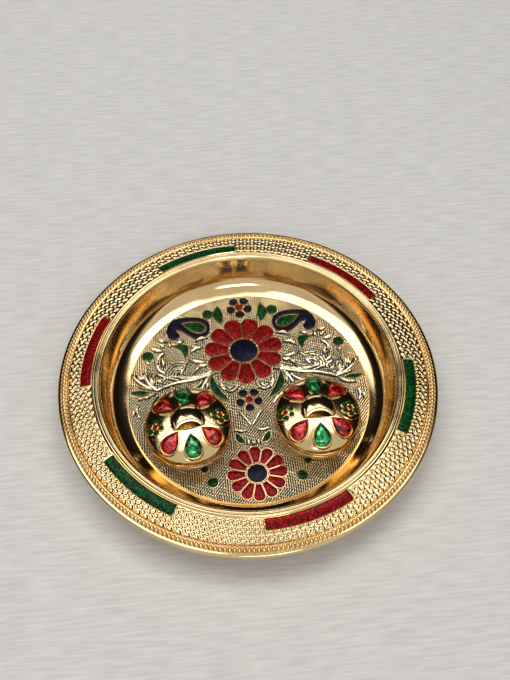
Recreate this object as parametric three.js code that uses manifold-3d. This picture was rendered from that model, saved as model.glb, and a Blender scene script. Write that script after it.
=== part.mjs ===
// Kumkum tray: a round, deep-drawn brass plate with a wide stamped rim, a beaded edge and an
// enamelled floor. Two small pots are riveted to the floor. Each has a loose, stone-set lid that
// a fingertip lifts by the hood in its middle.
// Millimetres, +Z up. The origin is on the table, under the middle of the plate. The design
// faces a person who sits at -Y.

import * as THREE from 'three';
import { mergeVertices } from 'three/addons/utils/BufferGeometryUtils.js';
import Module from 'manifold-3d';

const wasm = await Module();
wasm.setup();

// Plate
const plateRadius = 101.6;
const rimHeight = 23.5; // table to the top of the wall, where the rim starts
const rimFall = 3.7; // the rim slopes down to its edge
const plateSheet = 1.0;
const edgeRollRadius = 1.3; // the outer edge is turned down
const edgeSkirtHeight = 0.3;
const beadPitch = 2.333;
const beadWidth = 2.4;
const beadRise = 0.9;
const beadLand = 0.7; // plain strip between the beads and the edge roll
const grooveWidth = 0.6; // between the beads and the raised line
const lineWidth = 0.8;
const lineRise = 0.4;
const bandWidth = 12.5;
const innerRingWidth = 1.9;
const innerRingRise = 0.6;
const innerGrooveWidth = 0.6;
const wallRollRadius = 4.4;
const wallRun = 8.1; // how far the wall leans out from foot to top
const footWidth = 1.0;
const panelStepRun = 0.7;
const panelRise = 1.2; // table to the underside of the floor panel

// Enamel on the rim and the floor
const enamelRise = 0.7;
const wireGap = 0.4; // the width of the bare metal line between two enamels
const barCount = 6;
const barWidth = 5.5;
const barInset = 0.4; // from the inner edge of the band
const barEdge = 0.45; // how far a bar stands out at its edges
const barLift = 0.05; // keeps a bar's facets clear of the rim's
const barSpan = 30.0; // degrees
const firstBarAngle = 45.1; // degrees

// Pots
const potAngle = 51; // degrees from the front, to each side
const potRadius = 22.8;
const potClearance = 0.4; // from a pot to the edge of the floor panel, seen from above
const potSheet = 0.9;
const cupFootRadius = 11.0;
const cupSeatHeight = 14.0; // floor to the shoulder that carries the lid
const shoulderHeight = 1.6;
const neckHeight = 1.8;
const neckGap = 0.3; // between the neck and the lid's skirt, all round
const rivetRadius = 1.5;
const rivetHeadRadius = 3.0;
const rivetHeadHeight = 0.8;
const rivetGap = 0.2;
const leftLidTurn = 7; // degrees, as the loose lid lies

// Lids
const seatGap = 0.3; // between a seat and the piece that lies in it
const skirtHeight = 2.2;
const domeRise = 6.8;
const rearPanelRise = 0.5; // the rear part of the dome stands proud of the front part
const rearPanelReach = 3.8; // lid's axis back to where its front edges would meet
const rearPanelSlope = 0.53; // forward run of those edges per unit of width
const hoodOffset = 0.4; // hood centre behind the lid's axis
const hoodTuck = 1.3; // how far the hood's back reaches over the tip of the stone behind it
const hoodSink = 1.9; // dome top to the hood's widest level
const hoodRise = 3.1; // dome top to hood top
const hoodLipReach = 0.9; // lid's axis to the upper lip of the mouth
const mouthReach = 4.6; // lid's axis to the front edge of the mouth

// Stones and rosettes
const stoneCountFront = 3;
const stonePitch = 45; // degrees
const stoneInset = 8.2; // lid's edge to the middle of a stone
const stoneWidth = 8.4;
const stoneLength = 11.6;
const stoneGirdle = 0.9;
const stoneRise = 2.2;
const bezelWall = 0.6;
const bezelRise = 0.6;
const pocketFloor = 1.6; // metal under a stone
const rosetteInset = 6.0; // lid's edge to the middle of a rosette
const rosetteRadius = 4.9;
const rosetteWaist = 2.6;
const rosetteRise = 0.8;
const rosetteEyeRadius = 1.1;
const rosettePetals = 6;

// Floor art, as it is drawn for this panel. On another panel the whole drawing is scaled to fit.
const drawnPanelRadius = 66.6;
const edgeMargin = 1.0; // panel edge to the nearest motif
const flowerSpace = 0.8; // between the back flower and the large one
const middleFlowerSpace = 2.6; // between the large flower and the middle one
const largeFlowerRadius = 22.2;
const largeFlowerEye = 8.2;
const largeFlowerPetals = 11;
const frontFlowerRadius = 15.8;
const frontFlowerEye = 5.7;
const frontFlowerPetals = 12;
const blueFlowerRadius = 7.6;
const blueFlowerEye = 2.1;
const blueFlowerPetals = 5;
const crownLeafLength = 12.9;
const crownLeafWidth = 4.8;
const crownLeafBend = 0.9;
const crownLeafDrop = 10.3; // middle of the back flower to the leaf's root
const motifSpace = 1.1; // between the back flower, its leaves and the dots beside them
const dotRadius = 3.3;
const backDotDrop = 3.4; // middle of the back flower to the middle of the dot
const sideDotInset = 1.8; // panel edge to the dot
const sideDotAngle = 27.6; // degrees from the plate's own X
const frontDotRadius = 3.0;
const frontDotInset = 5.7;
const frontDotAngle = -66.2; // degrees from the plate's own X
const paisleyLength = 25.1;
const paisleyAside = 11.6; // middle of the back dot to the middle of the paisley
const paisleyBelow = 9.1;
const curlLeafLength = 11.2;
const curlLeafWidth = 3.9;
const curlLeafBend = -3.7;
const curlLeafAside = 11.0; // large flower's edge to the leaf's root
const curlLeafBelow = 2.0;
const longLeafLength = 20.2;
const longLeafWidth = 3.3;
const longLeafBend = 3.1;
const longLeafAside = 2.8; // middle flower's edge to the leaf's root
const budLeafLength = 8.6;
const budLeafWidth = 3.7;
const budLeafBend = 0.9;
const budLeafAside = 4.3; // middle line to the leaf's root
const budLeafAbove = 1.9; // front flower's edge to the leaf's root

// Smoothness
const plateSegments = 56;
const pointsPerBead = 2;
const barSteps = 8;
const potSegments = 28;
const domeSteps = 4;
const stoneSegments = 12;

// Levels and radii that follow
const panelTop = panelRise + plateSheet;
const edgeRollStart = plateRadius - edgeRollRadius;
const beadOuterRadius = edgeRollStart - beadLand;
const beadRowRadius = beadOuterRadius - beadWidth / 2;
const beadInnerRadius = beadOuterRadius - beadWidth;
const lineOuterRadius = beadInnerRadius - grooveWidth;
const bandOuterRadius = lineOuterRadius - lineWidth;
const bandInnerRadius = bandOuterRadius - bandWidth;
const innerRingInnerRadius = bandInnerRadius - innerRingWidth;
const wallRollEnd = innerRingInnerRadius - innerGrooveWidth;
const wallTopRadius = wallRollEnd - wallRollRadius;
const wallFootRadius = wallTopRadius - wallRun;
const panelRadius = wallFootRadius - footWidth - panelStepRun;
const potDistance = panelRadius - potClearance - potRadius; // plate axis to pot axis
const seatLevel = panelTop + cupSeatHeight;
const neckRadius = potRadius - potSheet - neckGap;
const neckTop = seatLevel + neckHeight;
const lidBottom = seatLevel + seatGap;
const domeBase = lidBottom + skirtHeight;
const domeTop = domeBase + domeRise;
const stoneRingRadius = potRadius - stoneInset;
const rosetteRingRadius = potRadius - rosetteInset;
const hoodRadius = stoneRingRadius - stoneLength / 2 + hoodTuck - hoodOffset;

const finish = {
  gold: { color: 0xc9973f, roughness: 0.18, metalness: 1 },
  redEnamel: { color: 0xa80f16, roughness: 0.3, metalness: 0.1 },
  greenEnamel: { color: 0x0b5a2b, roughness: 0.3, metalness: 0.1 },
  blueEnamel: { color: 0x1a1a50, roughness: 0.3, metalness: 0.1 },
  redGlass: { color: 0xc01222, roughness: 0.08, metalness: 0 },
  greenGlass: { color: 0x0a7a3e, roughness: 0.08, metalness: 0 },
};

const tray = new THREE.Group();

function addPiece(parent, name, geometry, look) {
  const mesh = new THREE.Mesh(geometry, new THREE.MeshStandardMaterial(look));
  mesh.name = name;
  parent.add(mesh);
  return mesh;
}

function solidOf(geometry) {
  const bare = geometry.clone();
  bare.deleteAttribute('normal');
  bare.deleteAttribute('uv');
  const merged = mergeVertices(bare, 1e-4);
  return new wasm.Manifold(new wasm.Mesh({
    numProp: 3,
    vertProperties: merged.attributes.position.array,
    triVerts: new Uint32Array(merged.index.array),
  }));
}

function geometryOf(solid) {
  const mesh = solid.getMesh();
  const geometry = new THREE.BufferGeometry();
  geometry.setAttribute('position', new THREE.BufferAttribute(mesh.vertProperties, 3));
  geometry.setIndex(new THREE.BufferAttribute(mesh.triVerts, 1));
  geometry.computeVertexNormals();
  return geometry;
}

// A closed profile of [radius, height] points, anticlockwise, turned round the Z axis.
function revolve(profile, segments) {
  const points = profile.map(([radius, height]) => new THREE.Vector2(radius, height));
  points.push(points[0].clone());
  return new THREE.LatheGeometry(points, segments).rotateX(Math.PI / 2);
}

function circlePoints(radius, height, count) {
  return Array.from({ length: count }, (_, i) => {
    const angle = (2 * Math.PI * i) / count;
    return new THREE.Vector3(radius * Math.cos(angle), radius * Math.sin(angle), height);
  });
}

// A closed skin over a row of rings. Each ring has its own number of points: the walk round two
// neighbours always closes the side that is behind. A ring of one point is a tip.
function skinOfRings(rings) {
  const positions = [];
  const triangles = [];
  const starts = rings.map((ring) => {
    const start = positions.length / 3;
    ring.forEach((point) => positions.push(point.x, point.y, point.z));
    return start;
  });
  for (let k = 0; k + 1 < rings.length; k += 1) {
    const [countA, countB] = [rings[k].length, rings[k + 1].length];
    const a = (i) => starts[k] + (i % countA);
    const b = (j) => starts[k + 1] + (j % countB);
    let i = 0;
    let j = 0;
    while (i < countA || j < countB) {
      const advanceB = j < countB && (i === countA || (j + 1) / countB <= (i + 1) / countA);
      if (advanceB) {
        if (countB > 1) triangles.push(a(i), b(j), b(j + 1));
        j += 1;
      } else {
        if (countA > 1) triangles.push(a(i), b(j), a(i + 1));
        i += 1;
      }
    }
  }
  const geometry = new THREE.BufferGeometry();
  geometry.setAttribute('position', new THREE.Float32BufferAttribute(positions, 3));
  geometry.setIndex(triangles);
  geometry.computeVertexNormals();
  return geometry;
}

// Points on an ellipse arc in the profile plane, both ends included.
function arc(centreR, centreZ, radiusR, radiusZ, fromDegrees, toDegrees, steps) {
  return Array.from({ length: steps + 1 }, (_, i) => {
    const angle = THREE.MathUtils.degToRad(fromDegrees + ((toDegrees - fromDegrees) * i) / steps);
    return [centreR + radiusR * Math.cos(angle), centreZ + radiusZ * Math.sin(angle)];
  });
}

// The same open profile, one sheet thickness below its travel direction.
function underside(profile, thickness) {
  const normals = profile.slice(1).map(([r, z], i) => {
    const [dr, dz] = [r - profile[i][0], z - profile[i][1]];
    const length = Math.hypot(dr, dz);
    return [dz / length, -dr / length];
  });
  return profile.map(([r, z], i) => {
    const before = normals[Math.max(i - 1, 0)];
    const after = normals[Math.min(i, normals.length - 1)];
    const mitre = thickness / (1 + before[0] * after[0] + before[1] * after[1]);
    return [r + (before[0] + after[0]) * mitre, z + (before[1] + after[1]) * mitre];
  });
}

function extrude(shape, height, curveSegments = 8) {
  return new THREE.ExtrudeGeometry(shape, { depth: height, bevelEnabled: false, curveSegments });
}

// The level of the rim's plain surface: it slopes evenly from the wall's top to the edge roll.
function rimLevel(radius) {
  return rimHeight - (rimFall * (radius - wallRollEnd)) / (edgeRollStart - wallRollEnd);
}

function onRim(radius, lift = 0) {
  return [radius, rimLevel(radius) + lift];
}

// Plate: one drawn and stamped sheet. The skin runs over the top from the middle to the edge,
// with the ornament, and comes back underneath.
function plateGeometry() {
  const floorToWallTop = [
    [panelRadius, panelTop],
    [panelRadius + panelStepRun, plateSheet],
    ...arc(wallFootRadius, rimHeight - wallRollRadius, wallRun,
      rimHeight - wallRollRadius - plateSheet, -90, 0, 6),
    ...arc(wallRollEnd, rimHeight - wallRollRadius, wallRollRadius, wallRollRadius, 180, 90, 2)
      .slice(1),
  ];
  const edgeLevel = rimLevel(edgeRollStart) - edgeRollRadius;
  const edge = [
    ...arc(edgeRollStart, edgeLevel, edgeRollRadius, edgeRollRadius, 90, 0, 3),
    [plateRadius, edgeLevel - edgeSkirtHeight],
  ];
  const innerRing = [
    onRim(innerRingInnerRadius),
    onRim(innerRingInnerRadius + innerRingWidth / 4, innerRingRise),
    onRim(bandInnerRadius - innerRingWidth / 4, innerRingRise),
    onRim(bandInnerRadius),
  ];
  const raisedLine = [
    onRim(bandOuterRadius),
    onRim(bandOuterRadius + lineWidth / 4, lineRise),
    onRim(lineOuterRadius - lineWidth / 4, lineRise),
    onRim(lineOuterRadius),
  ];
  const plain = ([radius, height]) => circlePoints(radius, height, plateSegments);
  const below = underside([...floorToWallTop, ...edge], plateSheet).reverse();
  return skinOfRings([
    [new THREE.Vector3(0, 0, panelTop)],
    ...floorToWallTop.map(plain),
    ...innerRing.map(plain),
    ...raisedLine.map(plain),
    ...beadRings(),
    ...edge.map(plain),
    ...below.map(plain),
    [new THREE.Vector3(0, 0, panelRise)],
  ]);
}

// The bead row: every second point round the middle ring is the top of a bead.
function beadRings() {
  const beadCount = Math.round((2 * Math.PI * beadRowRadius) / beadPitch);
  const count = beadCount * pointsPerBead;
  const crest = circlePoints(...onRim(beadRowRadius), count);
  crest.forEach((point, i) => {
    point.z += i % pointsPerBead === 0 ? beadRise : 0;
  });
  return [
    circlePoints(...onRim(beadInnerRadius), count),
    crest,
    circlePoints(...onRim(beadOuterRadius), count),
  ];
}

function potPlace(side) {
  const angle = THREE.MathUtils.degToRad(-90 + side * potAngle);
  return new THREE.Vector3(potDistance * Math.cos(angle), potDistance * Math.sin(angle), 0);
}

const sides = { left: -1, right: 1 };

function plateWithRivetHoles() {
  const hole = new THREE.CylinderGeometry(rivetRadius + rivetGap, rivetRadius + rivetGap,
    panelTop * 2, 12).rotateX(Math.PI / 2);
  return Object.values(sides).reduce((plate, side) => {
    const place = potPlace(side);
    return plate.subtract(solidOf(hole).translate([place.x, place.y, panelTop]));
  }, solidOf(plateGeometry()));
}

addPiece(tray, 'tray_dish', geometryOf(plateWithRivetHoles()), finish.gold);

// Rim enamel: six curved bars, red and green in turn, each fired on the slope of the rim. The
// skin runs along the bar over its cross-sections.
function rimBar() {
  const inner = bandInnerRadius + barInset;
  const outer = inner + barWidth;
  const profile = [
    onRim(inner, barLift),
    onRim(inner, barEdge),
    onRim((inner + outer) / 2, enamelRise),
    onRim(outer, barEdge),
    onRim(outer, barLift),
  ];
  const ends = onRim((inner + outer) / 2, barEdge / 2);
  const place = ([radius, height], turn) => {
    const angle = THREE.MathUtils.degToRad(turn);
    return new THREE.Vector3(radius * Math.cos(angle), radius * Math.sin(angle), height);
  };
  const sections = Array.from({ length: barSteps + 1 }, (_, i) => {
    const turn = barSpan * (0.5 - i / barSteps);
    return profile.map((point) => place(point, turn));
  });
  return skinOfRings([[place(ends, barSpan / 2)], ...sections, [place(ends, -barSpan / 2)]]);
}

for (let i = 0; i < barCount; i += 1) {
  const red = i % 2 === 0;
  const bar = addPiece(tray, `rim_enamel_${i + 1}_${red ? 'red' : 'green'}`, rimBar(),
    red ? finish.redEnamel : finish.greenEnamel);
  bar.rotation.z = THREE.MathUtils.degToRad(firstBarAngle + (i * 360) / barCount);
}

// Floor enamel. Each motif is a raised field of enamel on the floor panel.
const floorArt = new THREE.Group();
floorArt.position.z = panelTop;
floorArt.scale.set(panelRadius / drawnPanelRadius, panelRadius / drawnPanelRadius, 1);
tray.add(floorArt);

function flowerShape(petals, radius, waist, hole, firstAngle, pointsPerPetal = 6) {
  const count = petals * pointsPerPetal;
  const outline = Array.from({ length: count }, (_, i) => {
    const turn = (2 * Math.PI * i) / count;
    const lobe = Math.sqrt(Math.abs(Math.cos((petals * turn) / 2)));
    const reach = waist + (radius - waist) * lobe;
    const angle = turn + firstAngle;
    return new THREE.Vector2(reach * Math.cos(angle), reach * Math.sin(angle));
  });
  const shape = new THREE.Shape(outline);
  shape.holes.push(new THREE.Path().absarc(0, 0, hole, 0, 2 * Math.PI, true));
  return shape;
}

// A low dome with an upright edge, face down on the level z = 0.
function lowDome(radius, edgeHeight, rise, segments) {
  return skinOfRings([
    [new THREE.Vector3(0, 0, rise)],
    circlePoints(radius * 0.7, edgeHeight + (rise - edgeHeight) * 0.7, segments),
    circlePoints(radius, edgeHeight, segments),
    circlePoints(radius, 0, segments),
    [new THREE.Vector3(0, 0, 0)],
  ]);
}

function addFlower(name, x, y, petals, radius, waist, eye, petalLook, eyeLook) {
  const eyeSegments = Math.round(8 + eye);
  const field = flowerShape(petals, radius, waist, eye + wireGap, -Math.PI / 2);
  addPiece(floorArt, `${name}_petals`, extrude(field, enamelRise), petalLook)
    .position.set(x, y, 0);
  addPiece(floorArt, `${name}_centre`, lowDome(eye, enamelRise / 2, enamelRise, eyeSegments),
    eyeLook).position.set(x, y, 0);
}

const backFlowerY = drawnPanelRadius - edgeMargin - blueFlowerRadius;
const largeFlowerY = backFlowerY - blueFlowerRadius - flowerSpace - largeFlowerRadius;
const middleFlowerY = largeFlowerY - largeFlowerRadius - middleFlowerSpace - blueFlowerRadius;
const frontFlowerY = -(drawnPanelRadius - edgeMargin - frontFlowerRadius);
const blueWaist = blueFlowerEye + wireGap * 2;
addFlower('back_flower', 0, backFlowerY, blueFlowerPetals, blueFlowerRadius, blueWaist,
  blueFlowerEye, finish.blueEnamel, finish.redEnamel);
addFlower('large_flower', 0, largeFlowerY, largeFlowerPetals, largeFlowerRadius,
  (largeFlowerRadius + largeFlowerEye) / 2, largeFlowerEye, finish.redEnamel, finish.blueEnamel);
addFlower('middle_flower', 0, middleFlowerY, blueFlowerPetals, blueFlowerRadius, blueWaist,
  blueFlowerEye, finish.blueEnamel, finish.redEnamel);
addFlower('front_flower', 0, frontFlowerY, frontFlowerPetals, frontFlowerRadius,
  (frontFlowerRadius + frontFlowerEye) / 2, frontFlowerEye, finish.redEnamel, finish.blueEnamel);

// A drop: round at one end, with its point towards +Y.
function dropPoints(width, length, count) {
  const widest = 0.77; // greatest value of sin(t) sin(t / 2)
  return Array.from({ length: count }, (_, i) => {
    const t = (2 * Math.PI * i) / count;
    const x = (-width / 2 / widest) * Math.sin(t) * Math.sin(t / 2);
    return new THREE.Vector2(x, (length / 2) * Math.cos(t));
  });
}

// A leaf along +Y from its stem at the origin. Its spine bows to +X by bend.
function leafShape(length, width, bend) {
  const steps = 5;
  const edge = (side) => Array.from({ length: steps + 1 }, (_, i) => {
    const t = i / steps;
    const swell = Math.sin(Math.PI * t);
    return new THREE.Vector2(bend * swell + (side * width * swell) / 2, length * t);
  });
  return new THREE.Shape([...edge(1), ...edge(-1).reverse().slice(1, -1)]);
}

// The paisley is drawn for the right side, about the middle of its body, with a curled tail. Its
// corners and handles are in hundredths of its length.
const paisleyStart = [-49, -2];
const paisleyCurves = [
  [-49, 20, -18, 32, 16, 32],
  [40, 32, 52, 13, 51, -5],
  [51, -20, 44, -29, 34, -29],
  [26, -29, 21, -24, 22, -15],
  [23, -9, 26, -6, 30, -2],
  [13, -11, -2, -32, -20, -32],
  [-38, -32, -49, -18, -49, -2],
];
const paisleyDrop = {
  width: paisleyLength * 0.27,
  length: paisleyLength * 0.55,
  x: paisleyLength * -0.12,
  y: paisleyLength * 0.044,
  turn: -66,
};

function paisleyShape() {
  const scaled = (numbers) => numbers.map((number) => (number * paisleyLength) / 100);
  const shape = new THREE.Shape();
  shape.moveTo(...scaled(paisleyStart));
  paisleyCurves.forEach((curve) => shape.bezierCurveTo(...scaled(curve)));
  return shape;
}

function dropInPaisley(grow) {
  const turn = THREE.MathUtils.degToRad(paisleyDrop.turn);
  return dropPoints(paisleyDrop.width + 2 * grow, paisleyDrop.length + 3 * grow, stoneSegments)
    .map((point) => point.rotateAround(new THREE.Vector2(), turn)
      .add(new THREE.Vector2(paisleyDrop.x, paisleyDrop.y)));
}

// Mirrored outlines run the other way round, so their points are turned about.
function mirrored(shape, side) {
  if (side > 0) return shape;
  const flip = (path) => path.getPoints(6).map((point) => new THREE.Vector2(-point.x, point.y));
  const copy = new THREE.Shape(flip(shape).reverse());
  copy.holes = shape.holes.map((hole) => new THREE.Path(flip(hole).reverse()));
  return copy;
}

function addMotif(name, shape, side, x, y, turnDegrees, look) {
  const mesh = addPiece(floorArt, name, extrude(mirrored(shape, side), enamelRise, 6), look);
  mesh.position.set(side * x, y, 0);
  mesh.rotation.z = side * THREE.MathUtils.degToRad(turnDegrees);
}

function addDot(name, radius, x, y) {
  addPiece(floorArt, name, lowDome(radius, enamelRise / 2, enamelRise, 12), finish.greenEnamel)
    .position.set(x, y, 0);
}

// From the back flower outwards: its leaf, the dot beside the leaf, the paisley behind the dot.
const crownLeafX = blueFlowerRadius + motifSpace + crownLeafWidth / 2;
const crownLeafY = backFlowerY - crownLeafDrop;
const backDotX = crownLeafX + crownLeafBend + crownLeafWidth / 2 + motifSpace + dotRadius;
const backDotY = backFlowerY - backDotDrop;
const paisleyX = backDotX + paisleyAside;
const paisleyY = backDotY - paisleyBelow;
const sideDot = new THREE.Vector2(drawnPanelRadius - sideDotInset - dotRadius, 0)
  .rotateAround(new THREE.Vector2(), THREE.MathUtils.degToRad(sideDotAngle));
const frontDot = new THREE.Vector2(drawnPanelRadius - frontDotInset - frontDotRadius, 0)
  .rotateAround(new THREE.Vector2(), THREE.MathUtils.degToRad(frontDotAngle));
for (const [sideName, side] of Object.entries(sides)) {
  const paisley = paisleyShape();
  paisley.holes.push(new THREE.Path(dropInPaisley(wireGap)));
  addMotif(`paisley_${sideName}`, paisley, side, paisleyX, paisleyY, 0, finish.blueEnamel);
  addMotif(`paisley_drop_${sideName}`, new THREE.Shape(dropInPaisley(0)), side, paisleyX,
    paisleyY, 0, finish.greenEnamel);
  addDot(`back_dot_${sideName}`, dotRadius, side * backDotX, backDotY);
  addDot(`side_dot_${sideName}`, dotRadius, side * sideDot.x, sideDot.y);
  addDot(`front_dot_${sideName}`, frontDotRadius, side * frontDot.x, frontDot.y);
  addMotif(`crown_leaf_${sideName}`, leafShape(crownLeafLength, crownLeafWidth, crownLeafBend),
    side, crownLeafX, crownLeafY, -4, finish.greenEnamel);
  addMotif(`curl_leaf_${sideName}`, leafShape(curlLeafLength, curlLeafWidth, curlLeafBend), side,
    largeFlowerRadius + curlLeafAside, largeFlowerY - curlLeafBelow, -38, finish.greenEnamel);
  addMotif(`long_leaf_${sideName}`, leafShape(longLeafLength, longLeafWidth, longLeafBend), side,
    blueFlowerRadius + longLeafAside, middleFlowerY, -26, finish.greenEnamel);
  addMotif(`bud_leaf_${sideName}`, leafShape(budLeafLength, budLeafWidth, budLeafBend), side,
    budLeafAside, frontFlowerY + frontFlowerRadius + budLeafAbove, -34, finish.greenEnamel);
}

// Cup: a spun bowl on a flat foot, with a shoulder that carries the lid and a neck inside it.
function cupProfile() {
  const bowlTop = seatLevel - shoulderHeight;
  const bowlRun = neckRadius - cupFootRadius;
  const holeRadius = rivetRadius + rivetGap;
  return [
    [holeRadius, panelTop],
    ...arc(cupFootRadius, bowlTop, bowlRun, bowlTop - panelTop, -90, 0, 5),
    ...arc(neckRadius, seatLevel - shoulderHeight / 2, potRadius - neckRadius,
      shoulderHeight / 2, -60, 90, 2),
    [neckRadius, seatLevel],
    [neckRadius, neckTop],
    [neckRadius - potSheet, neckTop],
    ...arc(cupFootRadius, bowlTop, bowlRun - potSheet, bowlTop - panelTop - potSheet, 0, -90, 4),
    [holeRadius, panelTop + potSheet],
  ];
}

// Rivet: a low round head in the cup, the shank through cup and floor, a flat head below.
function rivetGeometry() {
  const cupFloor = panelTop + potSheet;
  return revolve([
    [0, panelRise - rivetHeadHeight],
    [rivetHeadRadius, panelRise - rivetHeadHeight],
    [rivetHeadRadius, panelRise],
    [rivetRadius, panelRise],
    [rivetRadius, cupFloor],
    ...arc(0, cupFloor, rivetHeadRadius, rivetHeadHeight, 0, 90, 2),
  ], 12);
}

// The lid's outside: dome, proud rear panel and hood. The mouth of the hood is cut off along a
// plane that leans back from the front lip to the hood's top.
function domeSolid(radius, rise, bottom, steps) {
  return solidOf(revolve([
    [0, bottom],
    [radius, bottom],
    ...arc(0, domeBase, radius, rise, 0, 90, steps),
  ], potSegments));
}

function ellipsoid(radius, height) {
  const ball = new THREE.SphereGeometry(1, 16, 8).rotateX(Math.PI / 2)
    .scale(radius, radius, height);
  return solidOf(ball.translate(0, hoodOffset, domeTop - hoodSink));
}

function halfSpaceBox(size) {
  return solidOf(new THREE.BoxGeometry(size, size, size).translate(0, -size / 2, 0));
}

function hoodOutside() {
  const lean = Math.atan2(mouthReach - hoodLipReach, hoodRise);
  const front = halfSpaceBox(4 * hoodRadius)
    .rotate([THREE.MathUtils.radToDeg(-lean), 0, 0])
    .translate([0, -mouthReach, domeTop]);
  return ellipsoid(hoodRadius, hoodSink + hoodRise).subtract(front);
}

function rearPanel() {
  const reach = potRadius * 1.5;
  const region = new THREE.Shape([
    new THREE.Vector2(0, rearPanelReach),
    new THREE.Vector2(reach, rearPanelReach - rearPanelSlope * reach),
    new THREE.Vector2(reach, reach),
    new THREE.Vector2(-reach, reach),
    new THREE.Vector2(-reach, rearPanelReach - rearPanelSlope * reach),
  ]);
  const prism = solidOf(extrude(region, domeTop)).translate([0, 0, domeBase]);
  return domeSolid(potRadius, domeRise + rearPanelRise, lidBottom, domeSteps).intersect(prism);
}

// Where a stone or rosette lies: on the dome, tilted with it. Local +Z points out of the dome
// and local +Y to the lid's centre.
function domeSeat(ringRadius, degrees, lift) {
  const height = domeRise * Math.sqrt(1 - (ringRadius / potRadius) ** 2);
  const tilt = Math.atan2(ringRadius * domeRise ** 2, height * potRadius ** 2);
  const seat = new THREE.Object3D();
  const angle = THREE.MathUtils.degToRad(degrees);
  seat.position.set(ringRadius * Math.cos(angle), ringRadius * Math.sin(angle),
    domeBase + height + lift);
  seat.rotation.set(tilt, 0, angle + Math.PI / 2, 'ZYX');
  seat.updateMatrix();
  return seat;
}

const stoneSeats = [];
for (const [facing, lift] of [[-90, 0], [90, rearPanelRise]]) {
  for (let i = 0; i < stoneCountFront; i += 1) {
    const step = i - (stoneCountFront - 1) / 2;
    const colour = step === 0 ? 'green' : 'red';
    stoneSeats.push({ colour, seat: domeSeat(stoneRingRadius, facing + step * stonePitch, lift) });
  }
}
const rosetteSeats = [180, 0].map((degrees) => domeSeat(rosetteRingRadius, degrees, rearPanelRise));

function prismAt(seat, outline, from, to) {
  const prism = extrude(new THREE.Shape(outline), to - from).translate(0, 0, from);
  return solidOf(prism.applyMatrix4(seat.matrix));
}

function lidGeometry() {
  const outside = domeSolid(potRadius, domeRise, lidBottom, domeSteps)
    .add(rearPanel())
    .add(hoodOutside());
  const domeHollow = domeSolid(potRadius - potSheet, domeRise - potSheet, lidBottom - potSheet,
    domeSteps);
  const hoodHollow = ellipsoid(hoodRadius - potSheet, hoodSink + hoodRise - potSheet)
    .subtract(halfSpaceBox(4 * hoodRadius).translate([0, -mouthReach, domeTop]));
  let lid = outside.subtract(domeHollow).subtract(hoodHollow);
  for (const { seat } of stoneSeats) {
    const bezel = dropPoints(stoneWidth + 2 * (seatGap + bezelWall),
      stoneLength + 3 * (seatGap + bezelWall), stoneSegments);
    const pocket = dropPoints(stoneWidth + 2 * seatGap, stoneLength + 3 * seatGap, stoneSegments);
    lid = lid.add(prismAt(seat, bezel, -pocketFloor, bezelRise))
      .subtract(prismAt(seat, pocket, -seatGap, bezelRise * 2));
  }
  const bossOutline = circlePoints(rosetteRadius + bezelWall, 0, 14)
    .map((point) => new THREE.Vector2(point.x, point.y));
  for (const seat of rosetteSeats) {
    lid = lid.add(prismAt(seat, bossOutline, -pocketFloor, 0));
  }
  return geometryOf(lid);
}

// Stone: a drop-shaped cabochon with an upright girdle.
function stoneGeometry() {
  const outline = dropPoints(stoneWidth, stoneLength, stoneSegments);
  const ring = (scale, height) => outline.map((point) => (
    new THREE.Vector3(point.x * scale, point.y * scale, height)));
  return skinOfRings([
    [new THREE.Vector3(0, 0, stoneRise)],
    ring(0.62, stoneRise * 0.86),
    ring(1, stoneGirdle),
    ring(1, 0),
    [new THREE.Vector3(0, 0, 0)],
  ]);
}

function placeAtSeat(mesh, seat, lift) {
  mesh.position.copy(seat.position);
  mesh.rotation.copy(seat.rotation);
  mesh.translateZ(lift);
}

function addLidSet(sideName, lidGroup) {
  addPiece(lidGroup, `lid_${sideName}`, lidGeometry(), finish.gold);
  stoneSeats.forEach(({ colour, seat }, i) => {
    const look = colour === 'red' ? finish.redGlass : finish.greenGlass;
    placeAtSeat(addPiece(lidGroup, `stone_${sideName}_${i + 1}_${colour}`, stoneGeometry(), look),
      seat, 0);
  });
  rosetteSeats.forEach((seat, i) => {
    const name = `rosette_${sideName}_${i + 1}`;
    const petals = flowerShape(rosettePetals, rosetteRadius, rosetteWaist,
      rosetteEyeRadius + wireGap, 0, 4);
    placeAtSeat(addPiece(lidGroup, `${name}_petals`, extrude(petals, rosetteRise, 3),
      finish.greenEnamel), seat, seatGap);
    placeAtSeat(addPiece(lidGroup, `${name}_eye`,
      lowDome(rosetteEyeRadius, rosetteRise / 2, rosetteRise, 8), finish.redEnamel),
    seat, seatGap);
  });
}

for (const [sideName, side] of Object.entries(sides)) {
  const place = potPlace(side);
  addPiece(tray, `cup_${sideName}`, revolve(cupProfile(), potSegments), finish.gold)
    .position.copy(place);
  addPiece(tray, `cup_rivet_${sideName}`, rivetGeometry(), finish.gold).position.copy(place);
  const lidGroup = new THREE.Group();
  lidGroup.position.copy(place);
  lidGroup.rotation.z = side < 0 ? THREE.MathUtils.degToRad(leftLidTurn) : 0;
  tray.add(lidGroup);
  addLidSet(sideName, lidGroup);
}

export default tray;
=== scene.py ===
import math

import bpy
import numpy as np
from mathutils import Matrix, Vector, geometry


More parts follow.
